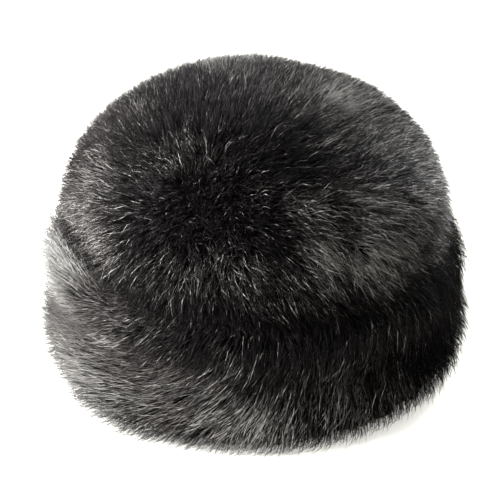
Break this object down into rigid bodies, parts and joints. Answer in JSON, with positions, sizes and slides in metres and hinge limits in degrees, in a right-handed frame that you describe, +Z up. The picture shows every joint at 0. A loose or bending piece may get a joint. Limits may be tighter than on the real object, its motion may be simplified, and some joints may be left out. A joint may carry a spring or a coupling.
{
  "type": "cuffed fur hat",
  "caption": "Round black fur hat with a domed crown and a wide turned-up fur cuff, hollow for the head.",
  "frame": {"origin": "on the surface that the hat stands on, under the middle of its outline", "axes": "+Z up through the top of the crown, -Y towards the front, +X to the right of someone who looks at the front"},
  "size_m": [0.2558, 0.2653, 0.1594],
  "materials": {
    "fur": "deep combed fur pile, near black, with a soft grey sheen",
    "cloth": "matt knitted backing"
  },
  "bodies": {
    "root": {"crown_cloth": "cloth", "crown_tip_fur": "fur", "crown_side_fur": "fur", "cuff_cloth": "cloth", "cuff_fur": "fur"}
  },
  "joints": []
}
